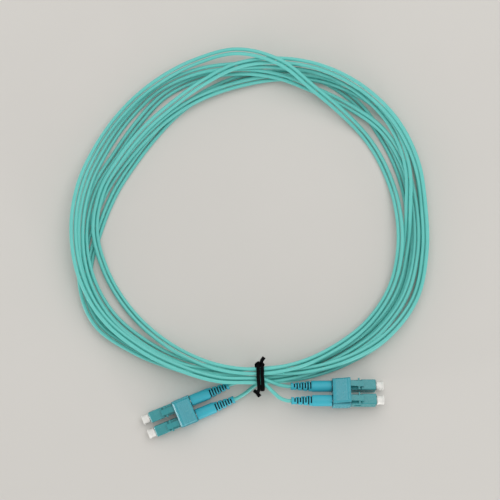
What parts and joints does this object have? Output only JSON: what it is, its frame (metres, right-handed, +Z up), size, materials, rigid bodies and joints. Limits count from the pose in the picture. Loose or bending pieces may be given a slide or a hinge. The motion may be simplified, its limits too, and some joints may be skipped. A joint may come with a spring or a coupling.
{
  "type": "fiber optic patch cord",
  "caption": "Coiled duplex fibre optic patch cord: an aqua zip cord held by a black tie wrap, with a capped duplex snap-in plug on each end.",
  "frame": {"origin": "on the surface it lies on, under the middle of the two connectors", "axes": "+Z up off that surface; +Y from the connectors towards the coil; +X from the left connector towards the right one, whose plugs point that way"},
  "size_m": [0.1484, 0.1621, 0.0127],
  "materials": {
    "jacket": "satin",
    "boot": "matte",
    "housing": "satin",
    "cap": "satin",
    "zirconia": "polished",
    "steel": "satin",
    "buffer": "gloss",
    "tie": "matte"
  },
  "bodies": {
    "cord": {"Duplex_Clip_Left": "housing", "Duplex_Clip_Right": "housing", "Plug_Housing_Left_A": "housing", "Rear_Body_Left_A": "steel", "Crimp_Sleeve_Left_A": "steel", "Buffered_Fibre_Left_A": "buffer", "Ferrule_Spring_Left_A": "steel", "Boot_Left_A": "boot", "Plug_Housing_Left_B": "housing", "Rear_Body_Left_B": "steel", "Crimp_Sleeve_Left_B": "steel", "Buffered_Fibre_Left_B": "buffer", "Ferrule_Spring_Left_B": "steel", "Boot_Left_B": "boot", "Plug_Housing_Right_A": "housing", "Rear_Body_Right_A": "steel", "Crimp_Sleeve_Right_A": "steel", "Buffered_Fibre_Right_A": "buffer", "Ferrule_Spring_Right_A": "steel", "Boot_Right_A": "boot", "Plug_Housing_Right_B": "housing", "Rear_Body_Right_B": "steel", "Crimp_Sleeve_Right_B": "steel", "Buffered_Fibre_Right_B": "buffer", "Ferrule_Spring_Right_B": "steel", "Boot_Right_B": "boot", "Zip_Cord_Strand_A": "jacket", "Zip_Cord_Strand_B": "jacket", "Tie_Wrap": "tie"},
    "left_trigger": {"Trigger_Left": "housing"},
    "latch_left_a": {"Latch_Lever_Left_A": "housing"},
    "ferrule_left_a": {"Ferrule_Left_A": "zirconia", "Ferrule_Flange_Left_A": "steel"},
    "cap_left_a": {"Dust_Cap_Left_A": "cap"},
    "latch_left_b": {"Latch_Lever_Left_B": "housing"},
    "ferrule_left_b": {"Ferrule_Left_B": "zirconia", "Ferrule_Flange_Left_B": "steel"},
    "cap_left_b": {"Dust_Cap_Left_B": "cap"},
    "right_trigger": {"Trigger_Right": "housing"},
    "latch_right_a": {"Latch_Lever_Right_A": "housing"},
    "ferrule_right_a": {"Ferrule_Right_A": "zirconia", "Ferrule_Flange_Right_A": "steel"},
    "cap_right_a": {"Dust_Cap_Right_A": "cap"},
    "latch_right_b": {"Latch_Lever_Right_B": "housing"},
    "ferrule_right_b": {"Ferrule_Right_B": "zirconia", "Ferrule_Flange_Right_B": "steel"},
    "cap_right_b": {"Dust_Cap_Right_B": "cap"}
  },
  "joints": [
    {"name": "left_trigger_press", "type": "hinge", "parent": "cord", "child": "left_trigger", "pos_m": [-0.02904, -0.00026, 0.0058], "axis": [0.3795, -0.9252, 0], "range_deg": [0, 8], "stiffness_Nm_per_rad": 0.0008},
    {"name": "latch_left_a_bend", "type": "hinge", "parent": "cord", "child": "latch_left_a", "pos_m": [-0.04142, -0.00196, 0.0055], "axis": [-0.3795, 0.9252, 0], "range_deg": [0, 10.2], "stiffness_Nm_per_rad": 0.0001},
    {"name": "ferrule_left_a_float", "type": "slide", "parent": "cord", "child": "ferrule_left_a", "axis": [0.9252, 0.3795, 0], "range_m": [0, 0.001], "stiffness_N_per_m": 1500, "deforming": ["Ferrule_Spring_Left_A"]},
    {"name": "cap_left_a_pull", "type": "slide", "parent": "cord", "child": "cap_left_a", "axis": [-0.9252, -0.3795, 0], "range_m": [0, 0.012]},
    {"name": "latch_left_b_bend", "type": "hinge", "parent": "cord", "child": "latch_left_b", "pos_m": [-0.03905, -0.00774, 0.0055], "axis": [-0.3795, 0.9252, 0], "range_deg": [0, 10.2], "stiffness_Nm_per_rad": 0.0001},
    {"name": "ferrule_left_b_float", "type": "slide", "parent": "cord", "child": "ferrule_left_b", "axis": [0.9252, 0.3795, 0], "range_m": [0, 0.001], "stiffness_N_per_m": 1500, "deforming": ["Ferrule_Spring_Left_B"]},
    {"name": "cap_left_b_pull", "type": "slide", "parent": "cord", "child": "cap_left_b", "axis": [-0.9252, -0.3795, 0], "range_m": [0, 0.012]},
    {"name": "right_trigger_press", "type": "hinge", "parent": "cord", "child": "right_trigger", "pos_m": [0.02939, 0.00735, 0.00848], "axis": [-0.0294, 0.9272, -0.3735], "range_deg": [0, 8], "stiffness_Nm_per_rad": 0.0008},
    {"name": "latch_right_a_bend", "type": "hinge", "parent": "cord", "child": "latch_right_a", "pos_m": [0.04134, 0.01013, 0.00609], "axis": [0.0294, -0.9272, 0.3735], "range_deg": [0, 10.2], "stiffness_Nm_per_rad": 0.0001},
    {"name": "ferrule_right_a_float", "type": "slide", "parent": "cord", "child": "ferrule_right_a", "axis": [-0.9969, 0, 0.0785], "range_m": [0, 0.001], "stiffness_N_per_m": 1500, "deforming": ["Ferrule_Spring_Right_A"]},
    {"name": "cap_right_a_pull", "type": "slide", "parent": "cord", "child": "cap_right_a", "axis": [0.9969, 0, -0.0785], "range_m": [0, 0.012]},
    {"name": "latch_right_b_bend", "type": "hinge", "parent": "cord", "child": "latch_right_b", "pos_m": [0.04152, 0.00434, 0.00842], "axis": [0.0294, -0.9272, 0.3735], "range_deg": [0, 10.2], "stiffness_Nm_per_rad": 0.0001},
    {"name": "ferrule_right_b_float", "type": "slide", "parent": "cord", "child": "ferrule_right_b", "axis": [-0.9969, 0, 0.0785], "range_m": [0, 0.001], "stiffness_N_per_m": 1500, "deforming": ["Ferrule_Spring_Right_B"]},
    {"name": "cap_right_b_pull", "type": "slide", "parent": "cord", "child": "cap_right_b", "axis": [0.9969, 0, -0.0785], "range_m": [0, 0.012]}
  ],
  "couplings": [
    {"joint": "latch_left_a_bend", "follows": "left_trigger_press", "ratio": 1.27},
    {"joint": "latch_left_b_bend", "follows": "left_trigger_press", "ratio": 1.27},
    {"joint": "latch_right_a_bend", "follows": "right_trigger_press", "ratio": 1.27},
    {"joint": "latch_right_b_bend", "follows": "right_trigger_press", "ratio": 1.27}
  ]
}
